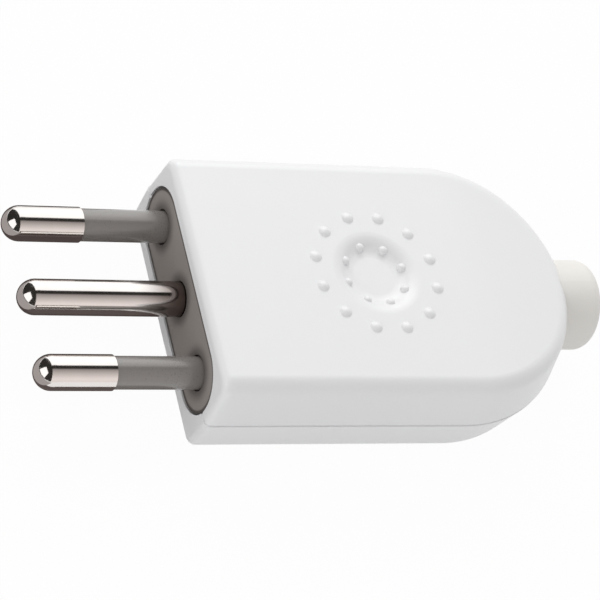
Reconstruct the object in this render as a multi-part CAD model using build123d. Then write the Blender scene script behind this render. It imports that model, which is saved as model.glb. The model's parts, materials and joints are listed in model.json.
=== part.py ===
"""In-line three-pin mains plug, 10 A, lying on its flat back.

The origin is on the earth pin's axis, in the plane where the pins leave the housing.
+X points towards the cord, +Y runs along the row of pins and +Z is the broad front face.
"""
from build123d import *
import os
from math import cos, radians, sin

os.makedirs("parts", exist_ok=True)

# Contact pins
pin_pitch = 9.5
pin_radius = 2.0
pin_reach = 19.0
sleeve_reach = 10.0
sleeve_radius = 1.83
core_radius = 1.5
undercut_radius = 1.8
collar_radius = 2.4
collar_x = 0.75
sleeve_end_x = 3.4

# Housing, measured from the pins' plane and axis
half_width = 15.8
front_half_width = 15.15
back_half_width = 15.4
rear_x = 48.2
front_rear_x = 46.6
back_rear_x = 46.5
parting_z = -0.8
front_z = 6.3
back_z = -6.35
fall_start_x = 33.5
front_fall = 1.1
back_fall = 2.2
front_rim_radius = 1.8
back_rim_radius = 1.4
front_end_radius = 1.0
back_end_radius = 0.8
groove_size = 0.18
wall = 1.8

# Pin carrier and its seat in the end wall
carrier_width = 28.0
carrier_height = 8.6
carrier_recess = 0.15
carrier_gap = 0.15
seat_x = 2.6
neck_end_x = 4.2
neck_step = 1.0
block_width = 27.0
block_height = 8.2
terminal_x = 5.0
block_end_x = 12.5
cover_thickness = 1.5
cover_width = 26.0
peg_radius = 0.8
peg_length = 3.5

# Terminals
barrel_radius = 3.1
turned_gap = 0.05
pin_hole_radius = 2.03
wire_hole_radius = 1.4
wire_hole_depth = 6.0
cover_hole_radius = 1.6
screw_x = 9.0
screw_hole_radius = 1.25
screw_shank_radius = 1.2
screw_seat_z = -2.6
screw_tip_z = -0.9
screw_head_radius = 2.0
screw_head_height = 1.2
screw_access_radius = 2.2
slot_width = 0.6
slot_depth = 0.7
head_round = 0.3
head_gap = 0.1
tip_gap = 0.5

# Dish and raised dots on the front face
dish_x = 22.0
dish_floor_radius = 2.5
dish_rim_radius = 5.4
dish_depth = 0.9
ring_radius = 7.45
ring_count = 12
ring_first_angle = 104.8
dot_radius = 0.75
dot_height = 0.38
inner_ring_radius = 3.8
inner_ring_count = 8
inner_ring_first_angle = 16.0
small_dot_radius = 0.5
small_dot_height = 0.3

# Housing screws and nuts
boss_x = 26.0
boss_y = 10.8
boss_radius = 3.0
boss_hole_radius = 1.6
nut_half_flats = 2.75
nut_height = 2.4
nut_bore_radius = 1.45
housing_shank_radius = 1.45
housing_head_radius = 2.7
housing_head_height = 1.6
housing_head_seat_z = -4.0
housing_shank_end_z = 2.6

# Cord guard
guard_radius = 5.25
guard_bore_radius = 3.3
guard_seat_x = 45.4
guard_end_x = 52.0
guard_round_radius = 1.5
guard_gap = 0.1
neck_radius = 4.0
wing_width = 15.0
wing_height = 8.0
wing_start_x = 42.2
wing_end_x = 43.8
gland_start_x = 41.0
gland_half_width = 9.0

# Cord clamp
clamp_x = 36.5
clamp_screw_y = 8.2
clamp_length = 5.0
clamp_width = 22.0
clamp_corner_radius = 1.6
clamp_top_z = -1.7
clamp_bottom_z = -4.1
clamp_saddle_radius = 4.6
clamp_saddle_z = 2.2
clamp_boss_radius = 2.5
clamp_hole_radius = 1.3
clamp_shank_radius = 1.2
clamp_shank_end_z = 2.0
clamp_head_radius = 2.1
clamp_head_height = 1.2
ridge_thickness = 1.0
ridge_width = 7.0
ridge_bottom_z = 3.0
ridge_offsets = (-1.5, 1.5)

# Locating lip of the rear shell
lip_height = 0.9
lip_gap = 0.2
lip_thickness = 0.8
lip_start_x = 14.6
lip_end_x = 39.5

# How far cutting shapes run past what they cut, the least length of a rim edge, and touching
over = 1.0
reach = 60.0
least_rim = 1.0
touching = 0.001


def rod(radius, start_x, end_x):
    """Cylinder along X."""
    circle = Plane.YZ.offset(start_x) * Circle(radius)
    return extrude(circle, amount=end_x - start_x, dir=(1, 0, 0))


def post(radius, low_z, high_z, x, y):
    """Cylinder along Z."""
    return Pos(x, y, (low_z + high_z) / 2) * Cylinder(radius, high_z - low_z)


def stadium(width, height, start_x, end_x):
    """Bar along X with a section whose two ends are round."""
    section = Plane.YZ.offset(start_x) * SlotOverall(width, height)
    return extrude(section, amount=end_x - start_x, dir=(1, 0, 0))


def block(low, high):
    """Box between two corners."""
    size = [b - a for a, b in zip(low, high)]
    middle = [(a + b) / 2 for a, b in zip(low, high)]
    return Pos(*middle) * Box(*size)


def plan_outline(half, end_x, start_x, height):
    """Outline with straight sides and a round rear end, at one height."""
    centre_x = end_x - half
    with BuildSketch(Plane.XY.offset(height)) as outline:
        with BuildLine():
            Polyline((centre_x, half), (start_x, half), (start_x, -half), (centre_x, -half))
            ThreePointArc((centre_x, -half), (end_x, 0), (centre_x, half))
        make_face()
    return outline.sketch.face()


def housing_form(face_z, face_half, face_end_x, inset, start_x):
    """One half of the housing's form, drafted from the parting plane and falling at the rear."""
    top_z = face_z - inset if face_z > parting_z else face_z + inset
    parting = plan_outline(half_width - inset, rear_x - inset, start_x, parting_z)
    face = plan_outline(face_half - inset, face_end_x - inset, start_x, top_z)
    drafted = loft([parting, face], ruled=True)
    drop = front_fall if face_z > parting_z else -back_fall
    with BuildSketch(Plane.XZ) as side:
        with BuildLine():
            Polyline((rear_x, top_z - drop), (rear_x, parting_z), (start_x, parting_z),
                     (start_x, top_z), (fall_start_x, top_z))
            TangentArc((fall_start_x, top_z), (rear_x, top_z - drop), tangent=(1, 0))
        make_face()
    return drafted & extrude(side.sketch.face(), amount=reach, both=True)


def outer_form(face_z, face_half, face_end_x, rim_radius, end_radius):
    """Outside of one housing half with its rounded rims and the fine groove at the parting."""
    form = housing_form(face_z, face_half, face_end_x, 0, 0)
    middle_z = (face_z + parting_z) / 2

    def on_rim(edge):
        box = edge.bounding_box()
        beyond = box.min.Z > middle_z if face_z > parting_z else box.max.Z < middle_z
        return beyond and box.size.X > least_rim

    form = fillet(form.edges().filter_by(on_rim), rim_radius)
    end_edges = form.edges().filter_by(lambda edge: edge.bounding_box().max.X < touching)
    above = end_edges.filter_by(lambda edge: abs(edge.center().Z - parting_z) > touching)
    form = fillet(above, end_radius)
    return form - parting_groove(face_z)


def parting_groove(face_z):
    """Fine step all round one housing half, where it meets the other."""
    height = groove_size if face_z > parting_z else -groove_size
    low_z, high_z = sorted((parting_z, parting_z + height))
    around = block((-over, -reach, low_z), (reach, reach, high_z))
    outline = plan_outline(half_width - groove_size, rear_x - groove_size, groove_size, parting_z)
    return around - extrude(outline, amount=abs(height), dir=(0, 0, height))


def dome(radius, height, foot_z):
    """Ball whose cap stands height above foot_z with the given radius there."""
    ball_radius = (radius ** 2 + height ** 2) / (2 * height)
    return Pos(0, 0, foot_z + height - ball_radius) * Sphere(ball_radius)


def ring_of(shape, radius, count, first_angle):
    """Copies of a shape round the dish's centre."""
    copies = []
    for index in range(count):
        angle = radians(first_angle + index * 360 / count)
        copies.append(Pos(dish_x + radius * cos(angle), radius * sin(angle), 0) * shape)
    return copies


def dish():
    """Shallow round hollow with an S-shaped slope."""
    middle_radius = (dish_floor_radius + dish_rim_radius) / 2
    with BuildSketch(Plane.XZ) as section:
        with BuildLine():
            Polyline((0, wall), (0, -dish_depth), (dish_floor_radius, -dish_depth))
            TangentArc((dish_floor_radius, -dish_depth), (middle_radius, -dish_depth / 2), tangent=(1, 0))
            TangentArc((dish_rim_radius, 0), (middle_radius, -dish_depth / 2), tangent=(-1, 0))
            Polyline((dish_rim_radius, 0), (dish_rim_radius, wall), (0, wall))
        make_face()
    return Pos(dish_x, 0, front_z) * revolve(section.sketch.face(), Axis.Z)


def carrier_seat():
    """Space for the carrier in the end wall: a wide pocket, then the opening for its neck."""
    gap = 2 * carrier_gap
    pocket = stadium(carrier_width + gap, carrier_height + gap, -over, seat_x)
    opening = stadium(carrier_width - 2 * neck_step + gap, carrier_height - 2 * neck_step + gap,
                      -over, neck_end_x)
    way_in = block((-over, -carrier_width / 2 - carrier_gap, parting_z),
                   (seat_x, carrier_width / 2 + carrier_gap, 0))
    neck_half = carrier_width / 2 - neck_step + carrier_gap
    neck_way_in = block((-over, -neck_half, parting_z), (neck_end_x, neck_half, 0))
    return pocket + opening + way_in + neck_way_in


def gland_seat():
    """Space for the cord guard in the rear wall: collar, neck and wings, open to the parting."""
    collar = rod(guard_radius + guard_gap, guard_seat_x, reach)
    neck = rod(neck_radius + guard_gap, gland_start_x - over, guard_seat_x)
    wings = stadium(wing_width + 2 * guard_gap, wing_height + 2 * guard_gap,
                    wing_start_x - guard_gap, wing_end_x)
    ways = []
    for half, start, end in ((guard_radius + guard_gap, guard_seat_x, reach),
                             (neck_radius + guard_gap, gland_start_x - over, guard_seat_x),
                             (wing_width / 2 + guard_gap, wing_start_x - guard_gap, wing_end_x)):
        ways.append(block((start, -half, parting_z), (end, half, 0)))
    seat = collar + neck + wings
    for way in ways:
        seat += way
    return seat


def hollow(face_z, face_half, face_end_x):
    """Inside of one housing half, stopped by the end wall and by the gland's block."""
    inside = housing_form(face_z, face_half, face_end_x, wall, neck_end_x)
    low_z, high_z = sorted((parting_z, 2 * face_z))
    gland = block((gland_start_x, -gland_half_width, low_z), (reach, gland_half_width, high_z))
    return inside - gland


def front_shell():
    """Deeper housing half: dish and dots outside, screw bosses and cord ridges inside."""
    form = outer_form(front_z, front_half_width, front_rear_x, front_rim_radius, front_end_radius)
    inside = hollow(front_z, front_half_width, front_rear_x)
    bosses = []
    for side in (-1, 1):
        screw_boss = post(boss_radius, parting_z, front_z - wall / 2, boss_x, side * boss_y)
        clamp_boss = post(clamp_boss_radius, clamp_top_z, front_z - wall / 2, clamp_x, side * clamp_screw_y)
        bosses += [screw_boss, clamp_boss]
    for offset in ridge_offsets:
        x = clamp_x + offset
        bosses.append(block((x - ridge_thickness / 2, -ridge_width / 2, ridge_bottom_z),
                            (x + ridge_thickness / 2, ridge_width / 2, front_z - wall / 2)))
    shell = form - inside
    for boss in bosses:
        shell += boss
    shell -= dish()
    for dot in ring_of(dome(dot_radius, dot_height, front_z), ring_radius, ring_count, ring_first_angle):
        shell += dot
    small = dome(small_dot_radius, small_dot_height, front_z - dish_depth / 2)
    for dot in ring_of(small, inner_ring_radius, inner_ring_count, inner_ring_first_angle):
        shell += dot
    shell -= carrier_seat()
    shell -= gland_seat()
    for side in (-1, 1):
        y = side * boss_y
        shell -= post(boss_hole_radius, parting_z - over, housing_shank_end_z + tip_gap, boss_x, y)
        pocket = extrude(Pos(boss_x, y, parting_z) * RegularPolygon(nut_half_flats, 6, major_radius=False),
                         amount=nut_height)
        shell -= pocket
        shell -= post(clamp_shank_radius, clamp_top_z - over, clamp_shank_end_z + tip_gap,
                      clamp_x, side * clamp_screw_y)
    return shell


def lip_wall(inset, low_z):
    """Low wall along the housing's outline, from an inset to the lip's inner side."""
    inner_inset = wall + lip_gap + lip_thickness
    outline = plan_outline(half_width - inset, rear_x - inset, lip_start_x, low_z)
    inner = plan_outline(half_width - inner_inset, rear_x - inner_inset, lip_start_x - over, low_z)
    solid = extrude(outline, amount=lip_height, dir=(0, 0, 1))
    return solid - extrude(inner, amount=lip_height, dir=(0, 0, 1))


def locating_lip():
    """Low wall of the rear shell that stands just inside the front shell's sides."""
    lip = lip_wall(wall + lip_gap, parting_z) + lip_wall(wall - lip_thickness, parting_z - lip_height)
    lip -= block((lip_end_x, -half_width, back_z), (reach, half_width, front_z))
    clear = boss_radius + lip_gap
    for side in (-1, 1):
        y_low, y_high = sorted((side * boss_y - side * clear, side * half_width))
        lip -= block((boss_x - clear, y_low, parting_z), (boss_x + clear, y_high, front_z))
    return lip


def rear_shell():
    """Shallower housing half: locating lip, bosses with counterbores on the back."""
    form = outer_form(back_z, back_half_width, back_rear_x, back_rim_radius, back_end_radius)
    shell = form - hollow(back_z, back_half_width, back_rear_x)
    for side in (-1, 1):
        shell += post(boss_radius, back_z + wall / 2, parting_z, boss_x, side * boss_y)
    shell += locating_lip()
    shell -= carrier_seat()
    shell -= gland_seat()
    for side in (-1, 1):
        y = side * boss_y
        shell -= post(boss_hole_radius, back_z, parting_z + over, boss_x, y)
        shell -= post(housing_head_radius + head_gap, back_z - over, housing_head_seat_z, boss_x, y)
    return shell


def pin_carrier():
    """Moulded block with three stepped pin holes, screw access holes and a keyed neck."""
    plate = stadium(carrier_width, carrier_height, carrier_recess, seat_x)
    neck = stadium(carrier_width - 2 * neck_step, carrier_height - 2 * neck_step, seat_x, neck_end_x)
    body = stadium(block_width, block_height, neck_end_x, block_end_x)
    carrier = plate + neck + body
    for index in (-1, 0, 1):
        y = index * pin_pitch
        carrier -= Pos(0, y, 0) * rod(pin_hole_radius, -over, collar_x)
        carrier -= Pos(0, y, 0) * rod(collar_radius + turned_gap, collar_x, terminal_x)
        carrier -= Pos(0, y, 0) * rod(barrel_radius + turned_gap, terminal_x, block_end_x + over)
        carrier -= post(screw_access_radius, -block_height, 0, screw_x, y)
    for side in (-1, 1):
        peg_hole = rod(peg_radius + turned_gap, block_end_x - peg_length - tip_gap, block_end_x + over)
        carrier -= Pos(0, side * pin_pitch / 2, 0) * peg_hole
    return carrier


def carrier_cover():
    """Plate behind the terminals with three wire holes and two pegs."""
    cover = stadium(cover_width, block_height, block_end_x, block_end_x + cover_thickness)
    for index in (-1, 0, 1):
        cover -= Pos(0, index * pin_pitch, 0) * rod(cover_hole_radius, block_end_x - over, reach)
    for side in (-1, 1):
        cover += Pos(0, side * pin_pitch / 2, 0) * rod(peg_radius, block_end_x - peg_length, block_end_x)
    return cover


def terminal_barrel():
    """Turned rear end of a pin: wire hole from behind and a flat with a screw hole."""
    barrel = rod(barrel_radius, terminal_x, block_end_x)
    barrel -= rod(wire_hole_radius, block_end_x - wire_hole_depth, block_end_x + over)
    barrel -= block((screw_x - screw_access_radius, -barrel_radius, -barrel_radius - over),
                    (screw_x + screw_access_radius, barrel_radius, screw_seat_z))
    barrel -= post(screw_hole_radius, -barrel_radius - over, 0, screw_x, 0)
    return barrel


def round_tip():
    """Hemispherical end of a pin."""
    return Pos(pin_radius - pin_reach, 0, 0) * Sphere(pin_radius)


def bare_pin(y):
    """Pin without a sleeve, with a shallow undercut where it enters the carrier."""
    pin = round_tip() + rod(pin_radius, pin_radius - pin_reach, 0)
    pin += rod(undercut_radius, 0, collar_x)
    pin += rod(collar_radius, collar_x, terminal_x) + terminal_barrel()
    return Pos(0, y, 0) * pin


def sleeved_pin(y):
    """Pin turned down where its insulating sleeve sits."""
    pin = round_tip() + rod(pin_radius, pin_radius - pin_reach, -sleeve_reach)
    pin += rod(core_radius, -sleeve_reach, sleeve_end_x)
    pin += rod(collar_radius, sleeve_end_x, terminal_x) + terminal_barrel()
    return Pos(0, y, 0) * pin


def pin_sleeve(y):
    """Insulating sleeve on the turned-down stretch of a pin, with a collar that the carrier holds."""
    sleeve = rod(sleeve_radius, -sleeve_reach, collar_x) + rod(collar_radius, collar_x, sleeve_end_x)
    sleeve -= rod(core_radius, -sleeve_reach, sleeve_end_x)
    return Pos(0, y, 0) * sleeve


def slotted_screw(shank_radius, shank_length, head_radius, head_height):
    """Cheese-head screw pointing up from z = 0, with its head below."""
    shank = Pos(0, 0, shank_length / 2) * Cylinder(shank_radius, shank_length)
    head = Pos(0, 0, -head_height / 2) * Cylinder(head_radius, head_height)
    rim = head.edges().filter_by(GeomType.CIRCLE).group_by(Axis.Z)[0]
    head = fillet(rim, head_round)
    slot = block((-head_radius, -slot_width / 2, -head_height - over),
                 (head_radius, slot_width / 2, slot_depth - head_height))
    return shank + head - slot


def terminal_screw(y):
    length = screw_tip_z - screw_seat_z
    screw = slotted_screw(screw_shank_radius, length, screw_head_radius, screw_head_height)
    return Pos(screw_x, y, screw_seat_z) * screw


def shell_screw(side):
    length = housing_shank_end_z - housing_head_seat_z
    screw = slotted_screw(housing_shank_radius, length, housing_head_radius, housing_head_height)
    return Pos(boss_x, side * boss_y, housing_head_seat_z) * screw


def shell_nut(side):
    """Hexagon nut in its pocket at the end of the front shell's boss."""
    nut = extrude(RegularPolygon(nut_half_flats - turned_gap, 6, major_radius=False), amount=nut_height)
    nut -= Cylinder(nut_bore_radius, 3 * nut_height)
    return Pos(boss_x, side * boss_y, parting_z) * nut


def clamp_screw(side):
    seat_z = clamp_bottom_z + clamp_head_height
    length = clamp_shank_end_z - seat_z
    screw = slotted_screw(clamp_shank_radius, length, clamp_head_radius, clamp_head_height)
    return Pos(clamp_x, side * clamp_screw_y, seat_z) * screw


def cord_clamp():
    """Bar with a hollowed middle that presses the cord's sheath against the front shell's ridges."""
    seat_z = clamp_bottom_z + clamp_head_height
    bar = block((clamp_x - clamp_length / 2, -clamp_width / 2, clamp_bottom_z),
                (clamp_x + clamp_length / 2, clamp_width / 2, clamp_top_z))
    corners = bar.edges().filter_by(Axis.Z)
    bar = fillet(corners, clamp_corner_radius)
    saddle = rod(clamp_saddle_radius, clamp_x - clamp_length, clamp_x + clamp_length)
    bar -= Pos(0, 0, clamp_saddle_z) * saddle
    for side in (-1, 1):
        y = side * clamp_screw_y
        bar -= post(clamp_hole_radius, clamp_bottom_z - over, clamp_top_z + over, clamp_x, y)
        bar -= post(clamp_head_radius + head_gap, clamp_bottom_z - over, seat_z, clamp_x, y)
    return bar


def cord_guard():
    """Soft collar with a round mouth outside, and a neck and two wings held by the shells."""
    round_x = guard_end_x - guard_round_radius
    lip_radius = guard_radius - guard_round_radius
    with BuildSketch(Plane.XZ) as section:
        with BuildLine():
            Polyline((guard_end_x, lip_radius), (guard_end_x, guard_bore_radius),
                     (wing_start_x, guard_bore_radius), (wing_start_x, neck_radius),
                     (guard_seat_x, neck_radius), (guard_seat_x, guard_radius), (round_x, guard_radius))
            TangentArc((round_x, guard_radius), (guard_end_x, lip_radius), tangent=(1, 0))
        make_face()
    guard = revolve(section.sketch.face(), Axis.X)
    wings = stadium(wing_width, wing_height, wing_start_x, wing_end_x)
    wings -= rod(guard_bore_radius, wing_start_x - over, wing_end_x + over)
    return guard + wings


pieces = {
    "front_shell": front_shell(),
    "rear_shell": rear_shell(),
    "pin_carrier": pin_carrier(),
    "carrier_cover": carrier_cover(),
    "earth_pin": bare_pin(0),
    "line_pin": sleeved_pin(pin_pitch),
    "neutral_pin": sleeved_pin(-pin_pitch),
    "line_sleeve": pin_sleeve(pin_pitch),
    "neutral_sleeve": pin_sleeve(-pin_pitch),
    "earth_terminal_screw": terminal_screw(0),
    "line_terminal_screw": terminal_screw(pin_pitch),
    "neutral_terminal_screw": terminal_screw(-pin_pitch),
    "cord_guard": cord_guard(),
    "cord_clamp": cord_clamp(),
    "clamp_screw_left": clamp_screw(-1),
    "clamp_screw_right": clamp_screw(1),
    "shell_screw_left": shell_screw(-1),
    "shell_screw_right": shell_screw(1),
    "shell_nut_left": shell_nut(-1),
    "shell_nut_right": shell_nut(1),
}

for name, shape in pieces.items():
    export_step(shape, f"parts/{name}.step")
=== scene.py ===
import json
from math import pi

import bmesh
import bpy
from mathutils import Matrix, Vector


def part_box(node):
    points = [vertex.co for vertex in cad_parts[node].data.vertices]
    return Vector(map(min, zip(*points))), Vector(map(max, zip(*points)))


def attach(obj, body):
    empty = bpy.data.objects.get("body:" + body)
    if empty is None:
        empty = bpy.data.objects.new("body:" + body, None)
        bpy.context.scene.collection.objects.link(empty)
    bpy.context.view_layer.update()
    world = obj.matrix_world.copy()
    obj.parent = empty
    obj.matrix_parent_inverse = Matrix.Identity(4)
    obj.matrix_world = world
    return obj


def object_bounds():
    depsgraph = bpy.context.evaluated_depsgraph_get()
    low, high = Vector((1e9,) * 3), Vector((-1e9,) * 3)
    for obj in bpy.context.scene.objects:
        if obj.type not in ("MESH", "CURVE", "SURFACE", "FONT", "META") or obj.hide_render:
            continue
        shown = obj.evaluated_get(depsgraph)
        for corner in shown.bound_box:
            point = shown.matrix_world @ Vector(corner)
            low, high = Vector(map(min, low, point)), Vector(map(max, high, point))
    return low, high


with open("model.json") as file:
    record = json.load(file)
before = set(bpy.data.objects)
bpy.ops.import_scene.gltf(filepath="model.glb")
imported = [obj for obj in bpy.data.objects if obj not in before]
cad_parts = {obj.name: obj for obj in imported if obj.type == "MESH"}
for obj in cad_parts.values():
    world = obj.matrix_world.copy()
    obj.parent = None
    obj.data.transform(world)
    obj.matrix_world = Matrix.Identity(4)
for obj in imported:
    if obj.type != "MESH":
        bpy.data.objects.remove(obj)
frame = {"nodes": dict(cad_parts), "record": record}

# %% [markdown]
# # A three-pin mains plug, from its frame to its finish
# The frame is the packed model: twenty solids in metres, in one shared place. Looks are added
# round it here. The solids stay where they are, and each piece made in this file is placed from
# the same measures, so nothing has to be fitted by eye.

MM = 0.001
FRAME_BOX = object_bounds()
FRAME_BOTTOM = FRAME_BOX[0].z
nodes = frame["nodes"]


def in_mm(box):
    return [[round(value / MM, 2) for value in corner] for corner in box]


print("nodes in the frame:", len(nodes))
print("frame box in mm:", in_mm(FRAME_BOX))

# %% [markdown]
# ## A small language for finishes
# A procedural finish is a chain of nodes that starts from a point's place on the object and ends in
# colour, gloss and relief. Wiring each node by hand hides the idea, so one class wraps an output
# and gives it Python's arithmetic: an expression such as 1 - mask adds the Math nodes it needs.

# %% Sockets with arithmetic


class Output:
    """One output of a node, which can be added, multiplied and so on."""

    def __init__(self, finish, socket):
        self.finish = finish
        self.socket = socket

    def __add__(self, other):
        return self.finish.maths("ADD", self, other)

    def __radd__(self, other):
        return self.finish.maths("ADD", other, self)

    def __sub__(self, other):
        return self.finish.maths("SUBTRACT", self, other)

    def __rsub__(self, other):
        return self.finish.maths("SUBTRACT", other, self)

    def __mul__(self, other):
        return self.finish.maths("MULTIPLY", self, other)

    def __rmul__(self, other):
        return self.finish.maths("MULTIPLY", other, self)


class Finish:
    """The nodes of one new material, or of the world."""

    def __init__(self, name, world=None):
        self.material = None if world else bpy.data.materials.new(name)
        owner = world or self.material
        owner.use_nodes = True
        self.tree = owner.node_tree
        self.tree.nodes.clear()

    def node(self, kind, settings=None, inputs=None, output=0):
        """Adds a node, sets it up, then feeds its sockets. Gives back one of its outputs."""
        made = self.tree.nodes.new("ShaderNode" + kind)
        for setting, value in (settings or {}).items():
            if setting == "stops":
                set_stops(made.color_ramp, value)
            else:
                setattr(made, setting, value)
        for place, value in (inputs or {}).items():
            if isinstance(value, Output):
                self.tree.links.new(value.socket, made.inputs[place])
            else:
                made.inputs[place].default_value = value
        return Output(self, made.outputs[output]) if made.outputs else made

    def maths(self, operation, first, second=0.0):
        return self.node("Math", {"operation": operation}, {0: first, 1: second})


def set_stops(ramp, stops):
    """Gives a colour ramp its stops as (place, colour)."""
    while len(ramp.elements) < len(stops):
        ramp.elements.new(1)
    for element, (place, colour) in zip(ramp.elements, stops):
        element.position = place
        element.color = (*colour, 1)


print("arithmetic on sockets:", sorted(name for name in vars(Output) if name.startswith("__r")))

# %% [markdown]
# ## Parts that every finish shares
# A finish reads Object coordinates, which are metres here, so a pattern keeps its real size.
# Noise at a scale of n has n grains to the metre. Where a finish changes with the place, such as
# close to a pin, a distance is faded into a share from 0 to 1. The surface of every piece is the
# Principled shader.

# %% Noise, blended colours, fades, relief and the surface


def place_on(finish, stretch=(1, 1, 1)):
    """The point's place on the object, stretched where a pattern runs one way."""
    spot = finish.node("TexCoord", output="Object")
    return finish.node("Mapping", inputs={"Vector": spot, "Scale": stretch})


def place_along(finish, axes):
    """The point's place along each of the named axes, in metres."""
    spot = finish.node("TexCoord", output="Object")
    return [finish.node("SeparateXYZ", inputs={0: spot}, output=axis) for axis in axes]


def grain(finish, spot, size_mm, detail=2.0, rough=0.5):
    """Soft random pattern from 0 to 1 whose patches are about this many millimetres."""
    return finish.node("TexNoise", {"noise_dimensions": "3D"},
                       {"Vector": spot, "Scale": 1 / (size_mm * MM), "Detail": detail, "Roughness": rough})


def blend(finish, share, low, high):
    """Colour between two colours, each a plain colour or another node's."""
    low, high = [tone if isinstance(tone, Output) else (*tone, 1) for tone in (low, high)]
    return finish.node("Mix", {"data_type": "RGBA"}, {"Factor": share, 6: low, 7: high}, output=2)


def fade(finish, distance, near_mm, far_mm):
    """1 closer than the near distance, 0 past the far one, and a smooth slope between."""
    return finish.node("MapRange", {"interpolation_type": "SMOOTHSTEP", "clamp": True},
                       {"Value": distance, "From Min": near_mm * MM, "From Max": far_mm * MM,
                        "To Min": 1.0, "To Max": 0.0})


def distance(finish, across, up):
    """Length of the line to a point, from its two sides."""
    return finish.maths("POWER", across * across + up * up, 0.5)


def relief(finish, height, depth_mm=1.0):
    """Bump whose height of 1 stands this many millimetres proud."""
    return finish.node("Bump", inputs={"Height": height, "Distance": depth_mm * MM, "Strength": 1.0})


def surface(finish, **sockets):
    """Ends the finish in a Principled shader. Names use _ for the space in a socket's name."""
    named = {name.replace("_", " "): value for name, value in sockets.items()}
    shader = finish.node("BsdfPrincipled", inputs=named)
    finish.node("OutputMaterial", inputs={"Surface": shader})
    return finish.material


def shade(colour, factor):
    return tuple(min(1, channel * factor) for channel in colour)


print("noise of 0.5 mm has a scale of", 1 / (0.5 * MM))

# %% [markdown]
# ## Painted shade on the carrier
# The grey block that holds the pins sits a little inside the housing's end face. Its colour is
# darkened there as painted shade: round each pin, for the shade at the pins' roots, and along the rim,
# where it draws the thin dark line of the gap round the block. Folding Y back and forth at half the
# pins' spacing makes one patch do for all three pins. The block's outline is two half circles joined
# by straight sides, so its rim is found from the distance to the straight middle line.

# %% Painted shade

PIN_PITCH_MM = 9.5
PATCH_FULL_MM, PATCH_END_MM = 2.0, 3.6
PATCH_SHARE = 0.75
CARRIER_END_RADIUS_MM = 4.3
CARRIER_STRAIGHT_MM = 19.4
RIM_START_MM, RIM_FULL_MM = 0.50, 0.22
PAINTED_SHADE_LEVEL = 0.3


def carrier_painted_shade(finish):
    """Share of painted shade on the carrier: a soft patch round each pin and a thin line along its rim."""
    across, up = place_along(finish, "YZ")
    folded = finish.maths("PINGPONG", across, PIN_PITCH_MM * MM / 2)
    patches = fade(finish, distance(finish, folded, up), PATCH_FULL_MM, PATCH_END_MM) * PATCH_SHARE
    past_straight = finish.maths("ABSOLUTE", across) - CARRIER_STRAIGHT_MM * MM / 2
    from_middle = distance(finish, finish.maths("MAXIMUM", past_straight, 0.0), up)
    rim = 1 - fade(finish, from_middle, CARRIER_END_RADIUS_MM - RIM_START_MM, CARRIER_END_RADIUS_MM - RIM_FULL_MM)
    return finish.maths("MAXIMUM", patches, rim)


# The painted shade round a pin ends this far from its axis.
print("dust round a pin ends", PATCH_END_MM, "mm from its axis")

# %% [markdown]
# ## Moulded plastics
# The housing is injection moulded in white plastic with a satin skin. Up close such a skin isn't
# even: it has a fine grain from the tool, broad faint clouds where the plastic flowed, and its gloss
# changes with the grain. The same recipe with other numbers gives the grey carrier, the sleeves,
# the cream guard and the cord clamp. The sleeves also have the thin gloss of a clear coat, which
# draws the light line along their upper side.

# %% Finishes of the moulded pieces

CLOUD_MM, CLOUD_SHARE = 9, 0.7
SKIN_SHARE = 0.3
WAVE_MM, WAVE_DEPTH_MM = 4, 0.02
SKIN_GLOSS_SPREAD, WAVE_GLOSS_SPREAD = 0.16, 0.08
COAT_GLOSS = 0.16


def moulded(name, colour, gloss, clouds, grain_mm, grain_depth_mm, coat=0.0, with_painted_shade=False):
    """Plastic with broad clouds of colour and a fine grain in its gloss and relief."""
    finish = Finish(name)
    spot = place_on(finish)
    cloud = grain(finish, spot, CLOUD_MM, detail=3)
    skin = grain(finish, spot, grain_mm, detail=2)
    wave = grain(finish, spot, WAVE_MM, detail=1)
    tone = cloud * CLOUD_SHARE + skin * SKIN_SHARE
    tint = blend(finish, tone, shade(colour, 1 - clouds), shade(colour, 1 + clouds))
    # On the carrier the colour is darkened by the painted shade round its pins and along its rim.
    if with_painted_shade:
        tint = blend(finish, carrier_painted_shade(finish), tint, shade(colour, PAINTED_SHADE_LEVEL))
    return surface(
        finish,
        Base_Color=tint,
        Coat_Weight=coat,
        Coat_Roughness=COAT_GLOSS,
        Roughness=gloss + (skin - 0.5) * SKIN_GLOSS_SPREAD + (wave - 0.5) * WAVE_GLOSS_SPREAD,
        Normal=relief(finish, skin * grain_depth_mm + wave * WAVE_DEPTH_MM),
    )


housing_finish = moulded("housing_white_satin", (0.86, 0.86, 0.868), gloss=0.33, clouds=0.012,
                         grain_mm=0.35, grain_depth_mm=0.004)
# The carrier's finish holds painted shade round its pins and along its rim.
carrier_finish = moulded("carrier_warm_grey", (0.305, 0.275, 0.256), gloss=0.5, clouds=0.16,
                         grain_mm=0.25, grain_depth_mm=0.016, with_painted_shade=True)
sleeve_finish = moulded("sleeve_satin_grey", (0.225, 0.209, 0.196), gloss=0.30, clouds=0.05,
                        grain_mm=0.20, grain_depth_mm=0.005, coat=0.9)
guard_finish = moulded("guard_cream_soft", (0.82, 0.80, 0.76), gloss=0.5, clouds=0.02,
                       grain_mm=0.30, grain_depth_mm=0.006)
clamp_finish = moulded("clamp_white", (0.80, 0.80, 0.79), gloss=0.45, clouds=0.015,
                       grain_mm=0.30, grain_depth_mm=0.006)
print("nodes in the carrier's finish:", len(carrier_finish.node_tree.nodes))

# %% [markdown]
# ## Turned and plated metals
# The pins are turned from brass rod along X and nickel plated, so their finest marks are rings
# round X. The screws are turned round Z and zinc plated. Noise that is stretched in two directions
# and left fine in the third gives rings without any picture of them. The pins' colour turns brown
# at their roots, a painted shade that a fade along X gives.

# %% Finishes of the metal pieces

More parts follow.
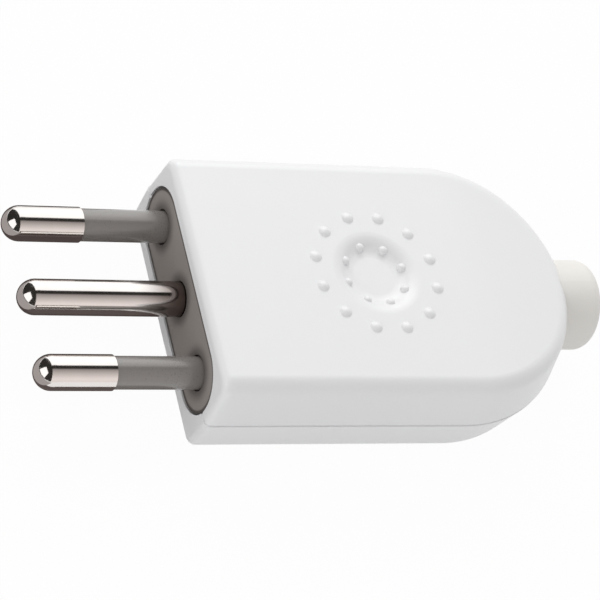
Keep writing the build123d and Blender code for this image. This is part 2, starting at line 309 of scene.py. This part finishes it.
RING_MM = 0.12
STAIN_MM = 2.5
STAIN_DARK, STAIN_LIGHT = 0.94, 1.05
RING_GLOSS_SPREAD, STAIN_GLOSS_SPREAD = 0.10, 0.06
PAINTED_ROOT_SHADE_FULL_MM, PAINTED_ROOT_SHADE_END_MM = 0.3, 6.0


def turned(name, colour, gloss, stretch, ring_depth_mm, painted_root_shade=None):
    """Plated metal with fine turning rings, and painted shade in a brown colour near x = 0 where one is given."""
    finish = Finish(name)
    rings = grain(finish, place_on(finish, stretch), RING_MM, detail=3, rough=0.6)
    stains = grain(finish, place_on(finish), STAIN_MM, detail=2)
    tint = blend(finish, stains, shade(colour, STAIN_DARK), shade(colour, STAIN_LIGHT))
    # The colour turns brown towards x = 0, painted shade at the pins' roots.
    if painted_root_shade:
        along, = place_along(finish, "X")
        tint = blend(finish, fade(finish, 0 - along, PAINTED_ROOT_SHADE_FULL_MM, PAINTED_ROOT_SHADE_END_MM), tint, painted_root_shade)
    return surface(
        finish,
        Base_Color=tint,
        Metallic=1.0,
        Roughness=gloss + (rings - 0.5) * RING_GLOSS_SPREAD + (stains - 0.5) * STAIN_GLOSS_SPREAD,
        Normal=relief(finish, rings, ring_depth_mm),
    )


# The brown at the pins' roots is painted shade.
pin_finish = turned("pin_nickel_plate", (0.80, 0.765, 0.74), gloss=0.11, stretch=(1, 0.02, 0.02),
                    ring_depth_mm=0.0006, painted_root_shade=(0.20, 0.16, 0.145))
screw_finish = turned("screw_zinc_plate", (0.66, 0.66, 0.68), gloss=0.26, stretch=(0.05, 0.05, 1),
                      ring_depth_mm=0.002)
nut_finish = turned("nut_brass_bare", (0.75, 0.58, 0.30), gloss=0.28, stretch=(1, 0.05, 0.05),
                    ring_depth_mm=0.002)
print("metal finishes:", pin_finish.name, screw_finish.name, nut_finish.name)

# %% [markdown]
# ## Dressing the frame's solids
# Each solid knows the name of its material slot, so one table from slot to finish dresses them all.

# %% Finishes on the solids
finish_of_slot = {
    "housing_white": housing_finish,
    "carrier_grey": carrier_finish,
    "pin_nickel": pin_finish,
    "sleeve_grey": sleeve_finish,
    "screw_steel": screw_finish,
    "guard_cream": guard_finish,
    "clamp_white": clamp_finish,
    "nut_brass": nut_finish,
}
slot_of_node = {row["node"]: row["material_slot"] for row in frame["record"]["subparts"]}
for name, solid in nodes.items():
    solid.data.materials.clear()
    solid.data.materials.append(finish_of_slot[slot_of_node[name]])
print("solids dressed:", len(slot_of_node))

# %% [markdown]
# ## Threads on the screws
# The frame's screws have plain shanks. A real screw is rolled between dies, which press a helical
# groove into the blank and push the crest up beside it. A helix is a spin with a climb: a small
# triangle is turned round the screw's axis and lifted by one pitch a turn. The triangle's broad
# side lies just inside the shank, so that the thread grows out of the metal with no gap.

# %% Threads

THREAD_STEPS = 20
FREE_TIP_MM = 0.25
SUNK_MM = 0.04
FLANK_SHARE = 0.42
MERGE_MM = 0.0001


def object_of(name, mesh, material):
    """Turns a finished bmesh into an object with one material."""
    data = bpy.data.meshes.new(name)
    mesh.to_mesh(data)
    mesh.free()
    data.materials.append(material)
    made = bpy.data.objects.new(name, data)
    bpy.context.scene.collection.objects.link(made)
    return made


def thread(name, node, shank_mm, pitch_mm, crest_mm, turns):
    """Helical ridge round a screw that stands along Z with its head below, ending near its tip."""
    low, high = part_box(node)
    middle = (low + high) / 2
    start = high.z - (FREE_TIP_MM + pitch_mm * turns) * MM
    root, crest = (shank_mm - SUNK_MM) * MM, (shank_mm + crest_mm) * MM
    flank = FLANK_SHARE * pitch_mm * MM
    mesh = bmesh.new()
    corners = [mesh.verts.new((middle.x + out, middle.y, start + rise))
               for out, rise in ((root, -flank), (crest, 0), (root, flank))]
    section = mesh.faces.new(corners)
    bmesh.ops.spin(mesh, geom=[section, *section.edges, *section.verts], cent=middle, axis=(0, 0, 1),
                   dvec=(0, 0, pitch_mm * MM / THREAD_STEPS), angle=2 * pi * turns,
                   steps=THREAD_STEPS * turns)
    bmesh.ops.remove_doubles(mesh, verts=mesh.verts, dist=MERGE_MM * MM)
    bmesh.ops.recalc_face_normals(mesh, faces=mesh.faces)
    open_edges = sum(not edge.is_manifold for edge in mesh.edges)
    heights = [round(vert.co.z / MM, 2) for vert in mesh.verts]
    ridge = object_of(name, mesh, screw_finish)
    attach(ridge, "root")
    print(name, "from", min(heights), "to", max(heights), "mm, open edges:", open_edges)


for side in ("left", "right"):
    thread("shell_thread_" + side, "shell_screw_" + side, shank_mm=1.45, pitch_mm=0.5, crest_mm=0.1, turns=10)
    thread("clamp_thread_" + side, "clamp_screw_" + side, shank_mm=1.2, pitch_mm=0.45, crest_mm=0.08, turns=7)
for wire in ("earth", "line", "neutral"):
    thread("terminal_thread_" + wire, wire + "_terminal_screw", shank_mm=1.2, pitch_mm=0.4, crest_mm=0.05,
           turns=3)

# %% [markdown]
# ## The floor and the room
# The photograph has a white ground. A white floor lit by the lamps alone would be grey or would
# need so much light that the plug burns out. Instead the floor shows an even white to the camera
# and to mirror-like surfaces, and part of the light it really receives, which keeps the shadow.
# It lies a hair under the plug's flat back, so that the two faces don't share a plane.

# %% Floor and world

WHITE = (1, 1, 1, 1)
FLOOR_PAINT = (0.88, 0.88, 0.88, 1)
FLOOR_HALF_SIZE = 3.0
FLOOR_WHITE_SHARE = 0.96
FLOOR_GAP = 0.05 * MM
ROOM_LEVEL = 0.60


def seen_directly(finish):
    """1 for rays from the camera and through mirrors and glass, 0 for scattered light."""
    seen = [finish.node("LightPath", output=name)
            for name in ("Is Camera Ray", "Is Glossy Ray", "Is Transmission Ray")]
    return finish.maths("MINIMUM", seen[0] + seen[1] + seen[2], 1.0)


floor_finish = Finish("floor_white")
even_white = floor_finish.node("Emission", inputs={"Color": WHITE, "Strength": 1.0})
lit_white = floor_finish.node("BsdfDiffuse", inputs={"Color": FLOOR_PAINT})
floor_look = floor_finish.node("MixShader", inputs={
    0: seen_directly(floor_finish) * FLOOR_WHITE_SHARE, 1: lit_white, 2: even_white})
floor_finish.node("OutputMaterial", inputs={"Surface": floor_look})

floor_mesh = bmesh.new()
bmesh.ops.create_grid(floor_mesh, x_segments=1, y_segments=1, size=FLOOR_HALF_SIZE)
bmesh.ops.translate(floor_mesh, verts=floor_mesh.verts, vec=(0, 0, FRAME_BOTTOM - FLOOR_GAP))
floor = object_of("floor", floor_mesh, floor_finish.material)

world = bpy.data.worlds.new("studio")
bpy.context.scene.world = world
room = Finish("studio", world)
level = ROOM_LEVEL + seen_directly(room) * (1 - ROOM_LEVEL)
sky = room.node("Background", inputs={"Color": WHITE, "Strength": level})
room.node("OutputWorld", inputs={"Surface": sky})
print("floor height in mm:", round((FRAME_BOTTOM - FLOOR_GAP) / MM, 2))

# %% [markdown]
# ## Lamps
# The plug is lit from the top of the picture by one broad soft box, so its far rim is the brightest
# band. Two weaker ones, low on the near side and before the pins, keep the long side and the end
# face from going dull.

# %% Soft boxes


def soft_box(name, place, aim, width, height, power):
    """Rectangular lamp that faces a point."""
    data = bpy.data.lights.new(name, "AREA")
    data.shape = "RECTANGLE"
    data.size, data.size_y = width, height
    data.energy = power
    lamp = bpy.data.objects.new(name, data)
    lamp.location = place
    lamp.rotation_mode = "QUATERNION"
    lamp.rotation_quaternion = (Vector(aim) - Vector(place)).to_track_quat("-Z", "Y")
    bpy.context.scene.collection.objects.link(lamp)


PLUG_MIDDLE = (0.02, 0, 0)
soft_box("key_box", (0.10, 0.64, 0.48), PLUG_MIDDLE, width=0.7, height=0.5, power=3.1)
soft_box("fill_box", (-0.35, -0.60, 0.16), PLUG_MIDDLE, width=0.5, height=0.4, power=0.34)
soft_box("end_box", (-0.60, -0.15, 0.20), PLUG_MIDDLE, width=0.5, height=0.4, power=0.6)
print("lamps:", [lamp.name for lamp in bpy.data.lights])

# %% [markdown]
# ## A tent for the polished pins
# A polished rod has hardly a colour of its own: it shows what stands round it, squeezed into lines
# along its length. In a white room it would be a white stripe. Product photographers therefore
# stand white cards and black flags round metal. Here a tunnel round the pins does this. From the
# top its inside is white, then black for the dark line that faces the viewer, then a warm grey that
# grows lighter below. Only mirror-like rays see it, so it lights nothing. The place round the axis
# is an angle, which the arc tangent gives, and a ramp turns the angle into a tone. Before the
# pins' tips the tunnel is black, for the dark arc on each rounded end.

# %% Tent

TENT_RADIUS = 0.15
TENT_ENDS = (-0.12, 0.25)
TENT_SIDES = 96
TIP_BLACK_END = -0.045
FLAG_BLACK = (0.03, 0.028, 0.026)
CARD_WHITE = (1.3, 1.3, 1.3)
TENT_STOPS = [(-180, (0.8, 0.74, 0.72)), (-92, (0.92, 0.85, 0.83)), (-72, (0.95, 0.88, 0.86)),
              (-40, (0.62, 0.57, 0.55)), (-16, (0.34, 0.31, 0.30)), (-9, FLAG_BLACK), (8, FLAG_BLACK),
              (13, CARD_WHITE), (88, CARD_WHITE), (96, FLAG_BLACK), (180, FLAG_BLACK)]


def mirror_only(piece):
    """Leaves a stage object to glossy rays alone."""
    piece.visible_camera = False
    piece.visible_diffuse = False
    piece.visible_transmission = False
    piece.visible_shadow = False


def glowing(finish, colour):
    """Ends a stage object's finish in plain light of a colour."""
    glow = finish.node("Emission", inputs={"Color": colour, "Strength": 1.0})
    finish.node("OutputMaterial", inputs={"Surface": glow})
    return finish.material


tent_finish = Finish("tent_tones")
along, across, up = place_along(tent_finish, "XYZ")
turned_by = tent_finish.maths("ARCTAN2", across, up)
tone = tent_finish.node("ValToRGB", {"stops": [(angle / 360 + 0.5, colour) for angle, colour in TENT_STOPS]},
                        {0: turned_by * (0.5 / pi) + 0.5})
behind_tips = tent_finish.maths("GREATER_THAN", along, TIP_BLACK_END)
tent_material = glowing(tent_finish, blend(tent_finish, behind_tips, FLAG_BLACK, tone))

tent_mesh = bmesh.new()
ends = [tent_mesh.verts.new((x, 0, TENT_RADIUS)) for x in TENT_ENDS]
edge = tent_mesh.edges.new(ends)
bmesh.ops.spin(tent_mesh, geom=[*ends, edge], cent=(0, 0, 0), axis=(1, 0, 0), angle=2 * pi,
               steps=TENT_SIDES, use_merge=True)
mirror_only(object_of("mirror_tent", tent_mesh, tent_material))
print("tent radius in mm:", TENT_RADIUS / MM)

# %% [markdown]
# ## Flags and a card inside the tent
# The lower side of a pin shows the ground, which is white here but would be in the plug's own shade
# on a photographer's table. A dark flag on the floor under the pins gives that shade, and a grey one
# before them, ground in a lighter painted shade, the rim of each tip. A black flag closes the tent's
# end, and the white card before it is the bright spot in the middle of each tip's dark arc.

# %% Flags and card

FLAG_Z = FRAME_BOTTOM + 0.3 * MM
SHADE_NEAR, SHADE_FAR = (0.115, 0.095, 0.090), (0.085, 0.068, 0.064)
SHADE_BORDER = -0.004
SHADED_GROUND_GREY = (0.42, 0.39, 0.38)


def flag(name, low, high, tone, far_tone=None, border=0.0):
    """Flat card between two corners, in one tone or with another tone past a border in Y."""
    finish = Finish(name)
    place, = place_along(finish, "Y")
    far = finish.maths("GREATER_THAN", place, border)
    material = glowing(finish, blend(finish, far, tone, far_tone or tone))
    low, high = Vector(low), Vector(high)
    size = high - low
    mesh = bmesh.new()
    bmesh.ops.create_grid(mesh, x_segments=1, y_segments=1, size=0.5)
    if size.x == 0:
        bmesh.ops.rotate(mesh, verts=mesh.verts, matrix=Matrix.Rotation(pi / 2, 3, "Y"))
    bmesh.ops.scale(mesh, verts=mesh.verts, vec=[side or 1 for side in size])
    bmesh.ops.translate(mesh, verts=mesh.verts, vec=(low + high) / 2)
    mirror_only(object_of(name, mesh, material))
    print(name, "covers in mm:", in_mm((low, high)))


flag("floor_flag", (-0.021, -0.019, FLAG_Z), (0.0, 0.040, FLAG_Z), SHADE_NEAR, SHADE_FAR, SHADE_BORDER)
# The tip flag's grey is painted shade on the ground before the pins.
flag("tip_flag", (-0.110, -0.060, FLAG_Z), (-0.021, 0.060, FLAG_Z), SHADED_GROUND_GREY)
flag("end_flag", (-0.12, -0.16, -0.006), (-0.12, 0.16, 0.16), FLAG_BLACK)
flag("end_card", (-0.118, -0.088, 0.004), (-0.118, 0.020, 0.110), CARD_WHITE)

# %% [markdown]
# ## The camera
# The three pins are 4 mm thick, 9.5 mm apart and 19 mm long, so their ends in the photograph fix the
# camera: where it stood, which way it was turned and how long its lens was. The turn is written as
# three directions: to the right of the picture, up in it, and from the plug back to the camera.

# %% Camera

LENS_MM = 196.42
SENSOR_MM = 36
CAMERA_PLACE = (-0.1477, -0.1759, 0.2803)
PICTURE_RIGHT = (0.897, -0.222, 0.382)
PICTURE_UP = (-0.014, 0.850, 0.526)
TO_CAMERA = (-0.441, -0.477, 0.760)

camera_data = bpy.data.cameras.new("camera")
camera_data.lens = LENS_MM
camera_data.sensor_width = SENSOR_MM
camera_data.clip_start = 10 * MM
camera = bpy.data.objects.new("camera", camera_data)
camera.rotation_mode = "QUATERNION"
camera.rotation_quaternion = Matrix((PICTURE_RIGHT, PICTURE_UP, TO_CAMERA)).transposed().to_quaternion()
camera.location = CAMERA_PLACE
bpy.context.scene.collection.objects.link(camera)
bpy.context.scene.camera = camera
bpy.context.scene.view_settings.view_transform = "Standard"
print("camera height in mm:", round(camera.location.z / MM))

# %% [markdown]
# ## Closing
# What is added here may not make the plug larger.
